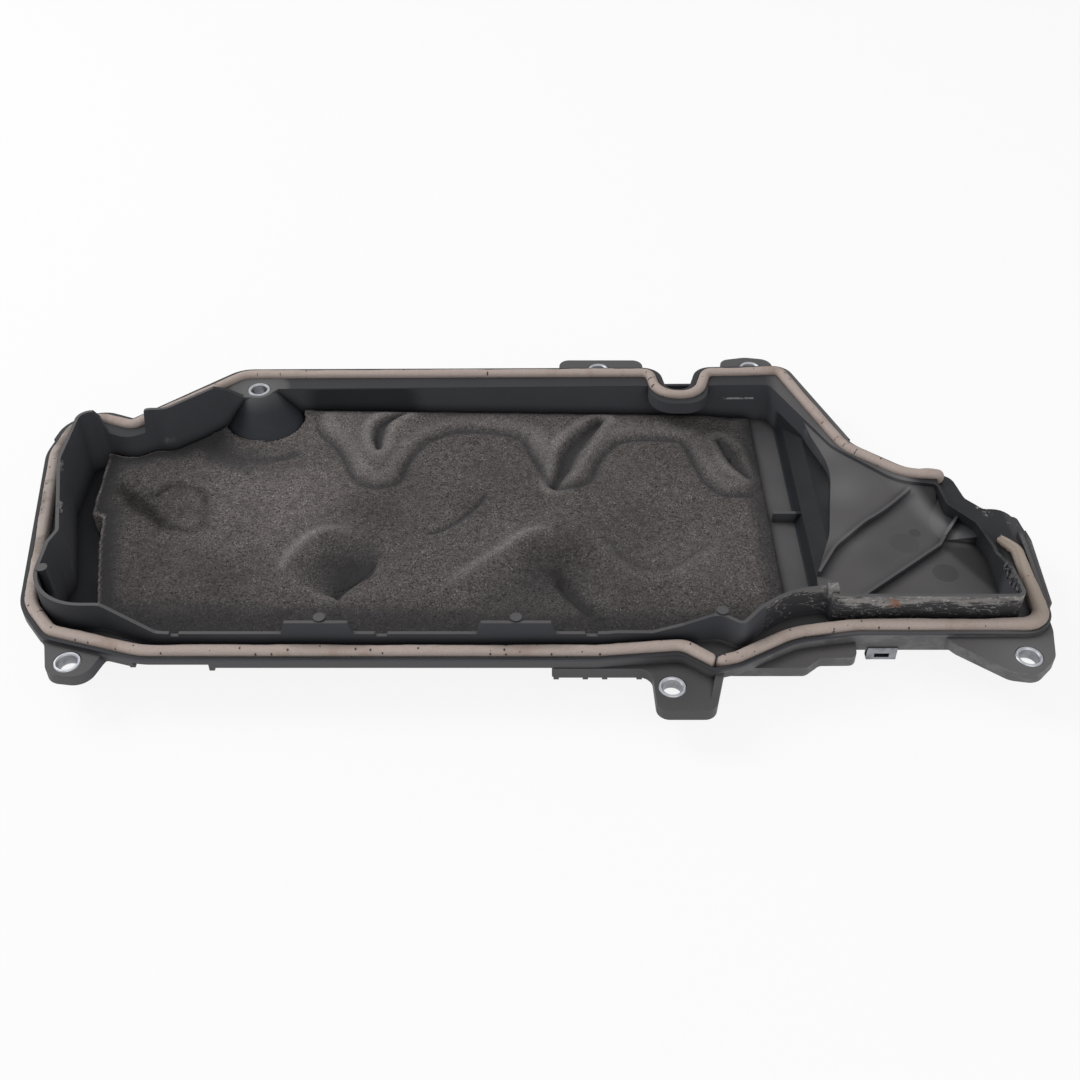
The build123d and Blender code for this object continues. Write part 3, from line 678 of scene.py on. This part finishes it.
def seal_finish(colours):
    """Pale foam rubber with stains, open pores, grime along its left side and painted shade in its corners.
    """
    made = Finish("pale seal foam")
    run = made.attribute("run")
    pore = seal_pores(made, run)
    stains = made.noise(55, detail=4, rough=0.6)
    grain = made.noise(900, detail=2)
    stain = tuple(colours.seal_stain)
    colour = made.mix(made.fit(stains, 0.50, 0.78, 0.0, 0.6), tuple(colours.seal), stain)
    colour = made.cover(colour, made.between(run, *OLIVE_TIP), 0.4, SEAL_OLIVE)
    left_side = made.between(run, *GRIMY_LEFT)
    colour = made.cover(colour, left_side, 0.4, SEAL_GREY)
    grime = made.both(left_side, made.fit(stains, 0.46, 0.62, 0.0, 0.6))
    colour = made.mix(grime, colour, SEAL_GRIME)
    colour = made.mix(made.fit(grain, 0.35, 0.7, 0.0, 0.18), colour, stain)
    # Painted shade where the seal sits in its groove.
    colour = made.mix(made.fit(made.corners(0.004), 0.35, 0.9, 0.6, 0.0), colour, SEAL_CORNER_SHADE)
    colour = made.cover(colour, pore, 0.9, SEAL_PORE)
    height = made.math("SUBTRACT", made.math("MULTIPLY", grain, 0.3), pore)
    made.set(Base_Color=colour, Roughness=0.8, Specular_IOR_Level=0.25,
             Normal=made.bump(height, 0.0004, 0.6))
    return made.material


def seal_pores(made, run):
    """1 in the open pores of the seal, which are cells that chance keeps along its run and across it."""
    along, across = 0.14, 0.28
    strip = made.node("ShaderNodeCombineXYZ")
    made.feed(strip.inputs[0], made.math("MULTIPLY", run, along))
    made.feed(strip.inputs[1], made.math("MULTIPLY", made.attribute("across"), across))
    cells = made.node("ShaderNodeTexVoronoi")
    made.feed(cells.inputs["Vector"], strip.outputs[0])
    cells.inputs["Scale"].default_value = 1.0
    chance = made.split(cells.outputs["Color"])
    gap = made.vector("SUBTRACT", strip.outputs[0], cells.outputs["Position"])
    gap = made.vector("LENGTH", made.vector("MULTIPLY", gap, (1 / along, 1 / across * 0.55, 0)))
    gap = made.math("DIVIDE", gap, made.fit(chance["Y"], 0.0, 1.0, 0.22, 0.55))
    crowd = made.between(run, *CROWDED_PORES)
    kept = made.math("ADD", chance["X"], made.math("MULTIPLY", crowd, 0.35))
    return made.both(made.fit(gap, 0.7, 1.2, 1.0, 0.0), made.fit(kept, 0.80, 0.81))


def plastic_finish(colours):
    """Dull black plastic with dust, rubbed skirts, worn walls, and painted light and shade: lit and shaded
    copies by facing, a painted highlight along the fold, painted shade in places and in corners.
    """
    made = Finish("dull black plastic")
    clouds = made.noise(28, detail=4, rough=0.6)
    grain = made.noise(1300, detail=2, rough=0.6)
    specks = made.noise(520, detail=3, rough=0.65)
    to_front = made.fit(made.facing["Y"], -0.7, -0.3, 1.0, 0.0)
    # Painted shade on the riser beside the foam.
    riser_shade = made.both(made.within("X", 139, 170, 2), made.within("Z", -24, -11.6, 0.4))
    colour = dusty_plastic(made, colours, clouds, riser_shade)
    colour = rub_skirts(made, colour, tuple(colours.plastic_dust_and_light), clouds, to_front)
    colour = made.mix(made.fit(grain, 0.62, 0.8, 0.0, 0.35), colour, PLASTIC_GRAIN)
    colour = shade_places(made, colour, colours, to_front, riser_shade)
    colour = wear_front_wall(made, colour, to_front, specks)
    colour = add_small_marks(made, colour, specks)
    # Painted shade in corners.
    corner_shade = made.fit(made.corners(0.006), 0.25, 0.95, 0.25, 1.0)
    colour = made.mix(1.0, colour, corner_shade, blend="MULTIPLY")
    made.set(Base_Color=colour, Roughness=made.fit(clouds, 0.3, 0.7, 0.45, 0.62), Specular_IOR_Level=0.18,
             Normal=made.bump(grain, 0.00015, 0.4))
    return made.material


def dusty_plastic(made, colours, clouds, riser_shade):
    """Painted light and shade by facing, and dust on the faces that look up, made lighter there as painted
    light, with painted shade where no dust is laid and painted highlights and shade in patches.
    """
    up = made.facing["Z"]
    dust_and_light_tone = tuple(colours.plastic_dust_and_light)
    # Painted light and shade by facing: lighter on upright faces, darker on sloping ones.
    colour = made.mix(made.fit(up, 0.15, 0.6), tuple(colours.plastic_upright_lit), tuple(colours.plastic_slope_shaded))
    # The pocket's scoop takes the dust colour, as dust and painted light.
    scoop = made.both(made.within("X", 139, 250, 8), made.within("Z", -11.5, 2), made.fit(up, 0.55, 0.8))
    colour = made.mix(scoop, colour, dust_and_light_tone)
    # Painted shade on the left floor, on the lip beside the seal and on the riser, where no dust is laid.
    left_floor_shade = made.both(made.within("X", -270, -190, 6), made.within("Z", -40, -12, 3))
    plate = made.spot(*plan_of("sleeve_back_left"), 0, 17, 2)
    lip = made.both(made.within("Z", -0.6, 0.6, 0.4), made.math("SUBTRACT", 1.0, plate))
    shade_without_dust = made.math("MAXIMUM", made.math("MULTIPLY", left_floor_shade, 0.85), made.math("MULTIPLY", lip, 0.82))
    shade_without_dust = made.math("MAXIMUM", shade_without_dust, riser_shade)
    # Dust on faces that look up, also painted light on them.
    dust = made.both(made.fit(up, 0.90, 0.985), made.fit(clouds, 0.25, 0.65, 0.8, 1.0),
                     made.math("SUBTRACT", 1.0, shade_without_dust))
    colour = made.mix(dust, colour, dust_and_light_tone)
    # Painted highlights and shade in patches.
    for x, y, z, reach, tone in PLASTIC_HIGHLIGHT_AND_SHADE_PATCHES:
        colour = made.cover(colour, made.spot(x, y, z, reach, reach), 0.6, (tone, tone, tone, 1))
    return colour


def rub_skirts(made, colour, dust_and_light_tone, clouds, to_front):
    """Dust on the outer skirts, rubbed lighter on the right."""
    skirt = made.both(to_front, made.within("Y", -150, -92, 2), made.within("Z", -40, -1.5, 0.5))
    dusty = made.both(skirt, made.fit(clouds, 0.3, 0.7, 0.6, 1.0))
    colour = made.mix(dusty, colour, dust_and_light_tone)
    rubs = made.noise(170, detail=5, rough=0.7, place=made.stretched((0.5, 1, 1)))
    rubbed = made.both(skirt, made.within("X", 85, 245, 6), made.fit(rubs, 0.40, 0.64, 0.3, 0.85))
    return made.mix(rubbed, colour, SKIRT_RUB)


def shade_places(made, colour, colours, to_front, riser_shade):
    """Painted shade on the shell, a darker mouth, and a painted highlight along the fold across the pocket.
    """
    # Painted shade on the front faces behind the seal; the mouth is darkened too.
    behind_seal = made.both(to_front, made.within("Y", -106, -60, 4), made.within("X", -275, 80, 10),
                            made.within("Z", -1, 20))
    mouth = made.both(made.within("X", 213, 262, 4), made.within("Y", -22, 30, 4), made.within("Z", -8, 8))
    for mask, share in ((behind_seal, 0.45), (mouth, 0.65)):
        colour = made.cover(colour, mask, share, tuple(colours.plastic_slope_shaded))
    past_fold = made.past(POCKET_FOLD, POCKET_FOLD_ACROSS)
    in_pocket = made.both(made.within("X", 150, 240, 3), made.within("Y", -40, 42, 8),
                          made.within("Z", -13, 6))
    # Painted highlight along the fold.
    fold_highlight = made.both(in_pocket, made.between(past_fold, -9 * MM, 0, 0, 4 * MM), made.within("Y", -14, 60, 6))
    colour = made.cover(colour, fold_highlight, 0.7, FOLD_HIGHLIGHT)
    # Painted shade at the boss, on the riser, beyond the fold, on the front faces at the left and in the
    # pocket's front corner.
    boss = made.both(made.spot(*BOSS_FOOT, -12, 34, 6), made.within("Z", -40, -1.2, 1))
    beyond_fold_shade = made.both(in_pocket, made.fit(past_fold, 2 * MM, 7 * MM))
    corner = made.both(made.within("X", 150, 232, 2), made.within("Y", -76, -24, 6),
                       made.within("Z", -13, 8), made.fit(past_fold, -12 * MM, -7 * MM))
    front_left = made.both(behind_seal, made.within("X", -275, -175, 30))
    for mask, share in ((boss, 0.6), (riser_shade, 0.75), (beyond_fold_shade, 0.75), (front_left, 0.4), (corner, 0.65)):
        colour = made.cover(colour, mask, share, tuple(colours.plastic_black))
    return colour


def wear_front_wall(made, colour, to_front, specks):
    """Dirt, wear, scratches and rust on the pocket's front wall and on the torn stub beside it."""
    front_wall = made.both(to_front, made.within("X", 98, 229, 6), made.within("Y", -90, -70),
                           made.within("Z", -1, 15))
    smear = made.noise(95, detail=6, rough=0.72, place=made.stretched((0.4, 1, 1.5)))
    waves = made.noise(150, detail=3, rough=0.6, place=made.stretched((0.6, 1, 1.5)))
    streaks = made.noise(240, detail=4, rough=0.7, place=made.stretched((0.3, 1, 1.6)))
    lines = made.fit(made.math("ABSOLUTE", made.math("SUBTRACT", waves, 0.5)), 0.004, 0.018, 1.0, 0.0)
    lines = made.both(lines, made.fit(specks, 0.40, 0.55))
    ragged = made.math("MULTIPLY", made.math("SUBTRACT", smear, 0.5), 24 * MM)
    height = made.math("ADD", made.at["Z"], ragged)
    worn = made.both(front_wall, made.within("X", 139, 229, 2), made.fit(streaks, 0.38, 0.54),
                     made.fit(height, (LIP_TOP + 7) * MM, (LIP_TOP + 10) * MM))
    rim = made.both(front_wall, made.fit(height, (LIP_TOP + 11.5) * MM, (LIP_TOP + 13.5) * MM))
    stub = made.both(made.spot(137.5, -78, 12.5, 5, 1.5, ragged=4), made.fit(specks, 0.38, 0.52, 0.3, 1.0))
    scored = made.both(made.math("MAXIMUM", front_wall, stub), lines)
    flecked = made.both(worn, made.fit(specks, 0.60, 0.68))
    rust = made.both(front_wall, made.spot(166, -84.5, 9.5, 2.7, 1.2, ragged=12),
                     made.fit(specks, 0.36, 0.56, 0.35, 1.0))
    for mask, share, tone in (
            (front_wall, 0.7, WALL_DIRT), (worn, 0.9, WALL_WEAR), (rim, 0.6, WALL_RIM),
            (stub, 0.8, STUB_WEAR), (scored, 0.6, WALL_LINES), (flecked, 0.7, WALL_FLECKS),
            (rust, 0.8, RUST)):
        colour = made.cover(colour, mask, share, tone)
    return colour


def add_small_marks(made, colour, specks):
    """Ejector marks on the pocket's floor, scuffs on the walls, residue at the mouth and one scratch."""
    for x, y, reach, share in EJECTOR_MARKS:
        colour = made.cover(colour, made.spot(x, y, POCKET_FLOOR, reach, 0.5), share, EJECTOR_TONE)
    for x, y, z, reach in SCUFFS:
        scuff = made.both(made.spot(x, y, z, reach, 1.2, ragged=2), made.fit(specks, 0.35, 0.5))
        colour = made.cover(colour, scuff, 0.6, SCUFF_TONE)
    for x, y, z, reach in RESIDUE:
        residue = made.both(made.spot(x, y, z, reach, 1.5), made.fit(specks, 0.56, 0.64))
        colour = made.cover(colour, residue, 0.8, RESIDUE_TONE)
    scratch = made.both(made.within("X", 108, 125, 1), made.within("Z", -9.9, -9.0, 0.3),
                        made.within("Y", 90, 110), made.fit(specks, 0.4, 0.5))
    return made.cover(colour, scratch, 0.8, SCRATCH_TONE)


def scrap_finish(colours):
    """Torn black plastic, worn paler in places."""
    made = Finish("torn black plastic")
    worn = made.noise(420, detail=3, rough=0.6)
    # The scraps start from the lighter copy of the plastic, which is painted light.
    colour = made.mix(made.fit(worn, 0.45, 0.62), tuple(colours.plastic_upright_lit), SCRAP_WEAR)
    made.set(Base_Color=colour, Roughness=0.7, Specular_IOR_Level=0.18, Normal=made.bump(worn, 0.0004, 0.6))
    return made.material


def metal_finish(name, bright, dull):
    """Plated steel, dull in places, with painted shade in its corners."""
    made = Finish(name)
    clouds = made.noise(160, detail=3)
    colour = made.mix(made.fit(clouds, 0.4, 0.7, 0.0, 0.7), tuple(bright), tuple(dull))
    corner_shade = made.fit(made.corners(0.009), 0.2, 0.9, 0.25, 1.0)
    colour = made.mix(1.0, colour, corner_shade, blend="MULTIPLY")
    made.set(Base_Color=colour, Metallic=0.75, Roughness=made.fit(clouds, 0.3, 0.7, 0.35, 0.5))
    return made.material


class COVER_OT_foam_pad(bpy.types.Operator):
    """Shapes the moulded foam pad with its bank, slots and pressed scales."""

    bl_idname = "cover.foam_pad"
    bl_label = "Foam pad"

    def execute(self, context):
        sizes = context.scene.cover_sizes
        foot = (BOSS_FOOT[0] + SHIFT_X, BOSS_FOOT[1] + SHIFT_Y)
        segments = outline_of(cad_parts["foam_pad"].data)
        segments = [ends for ends in segments if max(math.dist(end, foot) for end in ends) > BOSS_REACH]
        piece = soft_copy("foam_pad", "foam_lining", sizes.foam_mesh)
        places, normals = read_mesh(piece.data)
        x, y, z = (places / MM).T
        floor = z.min()
        edge = edge_distance(segments, x, y)
        upper = (normals[:, 2] > 0.35) & (z > floor + 2)
        flat = upper & (edge > 3)
        tilt = np.polyfit(x[flat], z[flat], 1)
        top = np.polyval(tilt, x) + 0.6
        plan_x = x - SHIFT_X
        plan_y = y - SHIFT_Y
        relief, pressed, fuzz_and_highlight = foam_relief(plan_x, plan_y)
        left_rim = ease(-plan_x, 120, 190) * (1 - ease(edge, 4, 15))
        right_rim = ease(plan_x, 95, 112) * (1 - ease(edge, 2, 14))
        relief *= ease(edge, 0, 8) * sizes.foam_relief
        relief += 0.35 * lumps(plan_x, plan_y, 14, 1.7) + 0.15 * lumps(plan_x, plan_y, 5, 4.2)
        relief -= 0.8 * left_rim + 1.6 * right_rim + 0.8 * (1 - ease(edge, 0, 3))
        share = np.where(upper, 1.0, np.clip((z - floor) / np.maximum(top - floor, 1), 0, 1))
        places[:, 2] = (floor + share * (top + relief - floor)) * MM
        write_mesh(piece.data, places)
        # Painted shade along the back and front walls; the left and right rims are pressed skin.
        back_shade = ease(plan_y, 35, 55) * (1 - ease(edge, 1.5, 5))
        front_shade = 0.6 * ease(-plan_y, 58, 69)
        cut_edge = ease(-plan_x, 205, 215) * (1 - ease(edge, 1.0, 2.4))
        for rim in (left_rim, 0.8 * right_rim, 0.85 * back_shade, front_shade):
            pressed = np.maximum(pressed, rim)
        paint(piece.data, "pressed", pressed * (1 - cut_edge))
        paint(piece.data, "fuzz_and_highlight", fuzz_and_highlight * (1 - left_rim))
        # The tone attribute carries the painted light and shade of the foam and its lighter cut edge.
        paint(piece.data, "tone", foam_light_and_shade(plan_x, plan_y) + 1.2 * cut_edge)
        hand_in(piece, "foam_pad", foam_finish(context.scene.cover_colours))
        return {"FINISHED"}


class COVER_OT_rim_seals(bpy.types.Operator):
    """Shapes the two lengths of foam seal, with their swelling and open pores."""

    bl_idname = "cover.rim_seals"
    bl_label = "Rim seals"

    def execute(self, context):
        sizes = context.scene.cover_sizes
        material = seal_finish(context.scene.cover_colours)
        for seed, (node, points) in enumerate(SEALS):
            piece = soft_copy(node, node + "_foam", sizes.seal_mesh)
            places, normals = read_mesh(piece.data)
            x, y, z = (places / MM).T
            run, across, whole = along_line(smooth_line(points), x - SHIFT_X, y - SHIFT_Y)
            swell = lumps(x, y, 17, 2.5 + seed) + 0.4 * lumps(x, y, 5, 8.5 + seed)
            if node == "rim_seal_main":
                swell += 2.0 * hump(run - whole + 5, 5)
            else:
                swell += 3.6 * hump(run - 62, 18) - 4.0 * (1 - ease(run, 8, 44))
            crown = ease(z, LIP_TOP - 1, LIP_TOP + 1)
            places += normals * (crown * swell * sizes.seal_swell)[:, None]
            if node == "rim_seal_main":
                round_end(places, points[-2], points[-1], 3.4)
            else:
                round_end(places, points[1], points[0], 15)
                round_end(places, points[-2], points[-1], 7)
            write_mesh(piece.data, places)
            paint(piece.data, "run", run + RIGHT_SEAL_RUN * seed)
            paint(piece.data, "across", across - z)
            hand_in(piece, node, material)
        return {"FINISHED"}


class COVER_OT_shell(bpy.types.Operator):
    """Gives the moulded shell its dull, dusty plastic with painted light and shade."""

    bl_idname = "cover.shell"
    bl_label = "Shell"

    def execute(self, context):
        dress("cover_shell", plastic_finish(context.scene.cover_colours))
        return {"FINISHED"}


class COVER_OT_torn_plastic(bpy.types.Operator):
    """Adds the torn scraps that hang on the broken edges of the shell."""

    bl_idname = "cover.torn_plastic"
    bl_label = "Torn plastic"

    def execute(self, context):
        ball = bmesh.new()
        bmesh.ops.create_icosphere(ball, subdivisions=3, radius=1.0)
        points = [vertex.co.copy() for vertex in ball.verts]
        faces = [[vertex.index for vertex in face.verts] for face in ball.faces]
        ball.free()
        places = []
        loops = []
        for seed, (x, y, z, wide, deep, high) in enumerate(SCRAPS):
            centre = Vector((x + SHIFT_X, y + SHIFT_Y, z + LIP_TOP))
            size = Vector((wide, deep, high))
            loops += [[index + len(places) for index in face] for face in faces]
            for point in points:
                ragged = 1 + 0.9 * noise.noise(point * 1.9 + Vector((seed * 7.3, 0, 0)))
                places.append((centre + point * size * ragged) * MM)
        mesh = bpy.data.meshes.new("torn_plastic")
        mesh.from_pydata(places, [], loops)
        mesh.materials.append(scrap_finish(context.scene.cover_colours))
        piece = bpy.data.objects.new("torn_plastic", mesh)
        context.scene.collection.objects.link(piece)
        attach(piece, "root")
        return {"FINISHED"}


class COVER_OT_metal(bpy.types.Operator):
    """Gives the bolt sleeves and the clip their plated steel."""

    bl_idname = "cover.metal"
    bl_label = "Sleeves and clip"

    def execute(self, context):
        colours = context.scene.cover_colours
        zinc = metal_finish("plated sleeve steel", colours.zinc, colours.zinc_dull)
        for node in SLEEVES:
            dress(node, zinc)
        dress("edge_clip", metal_finish("dull clip steel", colours.zinc_dull, colours.clip_dark))
        return {"FINISHED"}


class COVER_OT_stage(bpy.types.Operator):
    """Sets the floor, the soft light and the camera."""

    bl_idname = "cover.stage"
    bl_label = "Stage"

    def execute(self, context):
        scene = context.scene
        sizes = scene.cover_sizes
        scene.view_settings.view_transform = "Standard"
        self.make_world(scene)
        self.make_floor(scene)
        for lamp in LAMPS:
            self.make_lamp(scene, *lamp)
        camera = bpy.data.objects.new("camera", bpy.data.cameras.new("camera"))
        scene.collection.objects.link(camera)
        camera.data.sensor_width = 36
        camera.data.lens = sizes.lens
        middle = Vector((SHIFT_X, SHIFT_Y, SEAL_LEVEL)) * MM
        camera.location = middle + Vector((0, -sizes.camera_back, sizes.camera_up))
        camera.rotation_euler = (math.pi / 2 - sizes.camera_tilt, 0, 0)
        scene.camera = camera
        return {"FINISHED"}

    def seen_directly(self, tree):
        """1 for rays from the camera, mirrors and glass."""
        path = tree.nodes.new("ShaderNodeLightPath")
        total = path.outputs["Is Camera Ray"]
        for name in ("Is Glossy Ray", "Is Transmission Ray"):
            either = tree.nodes.new("ShaderNodeMath")
            either.operation = "MAXIMUM"
            tree.links.new(total, either.inputs[0])
            tree.links.new(path.outputs[name], either.inputs[1])
            total = either.outputs[0]
        return total

    def make_world(self, scene):
        world = bpy.data.worlds.new("soft room")
        scene.world = world
        world.use_nodes = True
        tree = world.node_tree
        room = tree.nodes["Background"]
        room.inputs["Color"].default_value = (1, 1, 1, 1)
        room.inputs["Strength"].default_value = ROOM_LIGHT
        white = tree.nodes.new("ShaderNodeBackground")
        white.inputs["Color"].default_value = (1, 1, 1, 1)
        choose = tree.nodes.new("ShaderNodeMixShader")
        tree.links.new(self.seen_directly(tree), choose.inputs[0])
        tree.links.new(room.outputs[0], choose.inputs[1])
        tree.links.new(white.outputs[0], choose.inputs[2])
        tree.links.new(choose.outputs[0], tree.nodes["World Output"].inputs["Surface"])

    def make_floor(self, scene):
        corners = [(FLOOR_HALF * x, FLOOR_HALF * y, 0) for x, y in ((-1, -1), (1, -1), (1, 1), (-1, 1))]
        mesh = bpy.data.meshes.new("floor")
        mesh.from_pydata(corners, [], [(0, 1, 2, 3)])
        floor = bpy.data.objects.new("floor", mesh)
        scene.collection.objects.link(floor)
        material = bpy.data.materials.new("pale floor")
        material.use_nodes = True
        tree = material.node_tree
        matt = tree.nodes["Principled BSDF"]
        matt.inputs["Base Color"].default_value = scene.cover_colours.floor
        matt.inputs["Roughness"].default_value = 0.9
        matt.inputs["Specular IOR Level"].default_value = 0.0
        white = tree.nodes.new("ShaderNodeEmission")
        part_way = tree.nodes.new("ShaderNodeMath")
        part_way.operation = "MULTIPLY"
        part_way.inputs[1].default_value = FLOOR_GLOW
        choose = tree.nodes.new("ShaderNodeMixShader")
        tree.links.new(self.seen_directly(tree), part_way.inputs[0])
        tree.links.new(part_way.outputs[0], choose.inputs[0])
        tree.links.new(matt.outputs[0], choose.inputs[1])
        tree.links.new(white.outputs[0], choose.inputs[2])
        tree.links.new(choose.outputs[0], tree.nodes["Material Output"].inputs["Surface"])
        mesh.materials.append(material)

    def make_lamp(self, scene, name, place, size, power):
        lamp = bpy.data.lights.new(name, "AREA")
        lamp.size = size
        lamp.energy = power
        stand = bpy.data.objects.new(name, lamp)
        scene.collection.objects.link(stand)
        stand.location = place
        stand.rotation_euler = (-Vector(place)).to_track_quat("-Z", "Y").to_euler()


class COVER_PT_panel(bpy.types.Panel):
    """Lists the cover's pieces in the sidebar."""

    bl_idname = "COVER_PT_panel"
    bl_label = "Engine cover"
    bl_space_type = "VIEW_3D"
    bl_region_type = "UI"
    bl_category = "Cover"

    def draw(self, context):
        for operator in OPERATORS:
            self.layout.operator(operator.bl_idname)
        for group in (context.scene.cover_sizes, context.scene.cover_colours):
            for name in group.bl_rna.properties.keys():
                if name not in ("rna_type", "name"):
                    self.layout.prop(group, name)


OPERATORS = (
    COVER_OT_stage, COVER_OT_shell, COVER_OT_foam_pad, COVER_OT_rim_seals, COVER_OT_torn_plastic,
    COVER_OT_metal,
)
CLASSES = (CoverSizes, CoverColours) + OPERATORS + (COVER_PT_panel,)


def register():
    for entry in CLASSES:
        bpy.utils.register_class(entry)
    bpy.types.Scene.cover_sizes = PointerProperty(type=CoverSizes)
    bpy.types.Scene.cover_colours = PointerProperty(type=CoverColours)


def unregister():
    del bpy.types.Scene.cover_colours
    del bpy.types.Scene.cover_sizes
    for entry in reversed(CLASSES):
        bpy.utils.unregister_class(entry)


def main():
    register()
    bpy.ops.cover.stage()
    bpy.ops.cover.shell()
    bpy.ops.cover.foam_pad()
    bpy.ops.cover.rim_seals()
    bpy.ops.cover.torn_plastic()
    bpy.ops.cover.metal()


if __name__ == "__main__":
    main()
